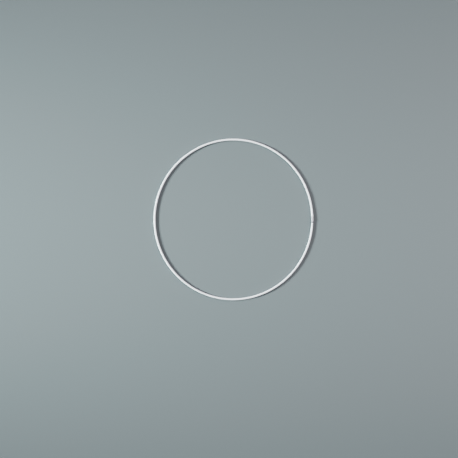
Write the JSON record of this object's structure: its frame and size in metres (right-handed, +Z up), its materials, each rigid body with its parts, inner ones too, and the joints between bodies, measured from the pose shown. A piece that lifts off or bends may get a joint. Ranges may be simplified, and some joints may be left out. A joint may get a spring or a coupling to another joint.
{
  "type": "wreath frame",
  "caption": "Round hoop of white plastic-coated steel wire, closed by one painted butt weld, as a base for wreaths and hanging decorations.",
  "frame": {"origin": "centre of the hoop, on the surface that it rests on", "axes": "+Z up, along the hoop's axis; +X from the centre through the weld; +Y completes the right hand"},
  "size_m": [0.2508, 0.25, 0.003],
  "materials": {
    "steel_wire": "drawn, dull bright",
    "weld_metal": "as welded, heat darkened",
    "white_coat": "satin, slightly uneven",
    "silver_paint": "satin silver-grey, brushed on"
  },
  "bodies": {
    "root": {"wire_core": "steel_wire", "butt_weld": "weld_metal", "white_coating": "white_coat", "joint_paint": "silver_paint"}
  },
  "joints": []
}
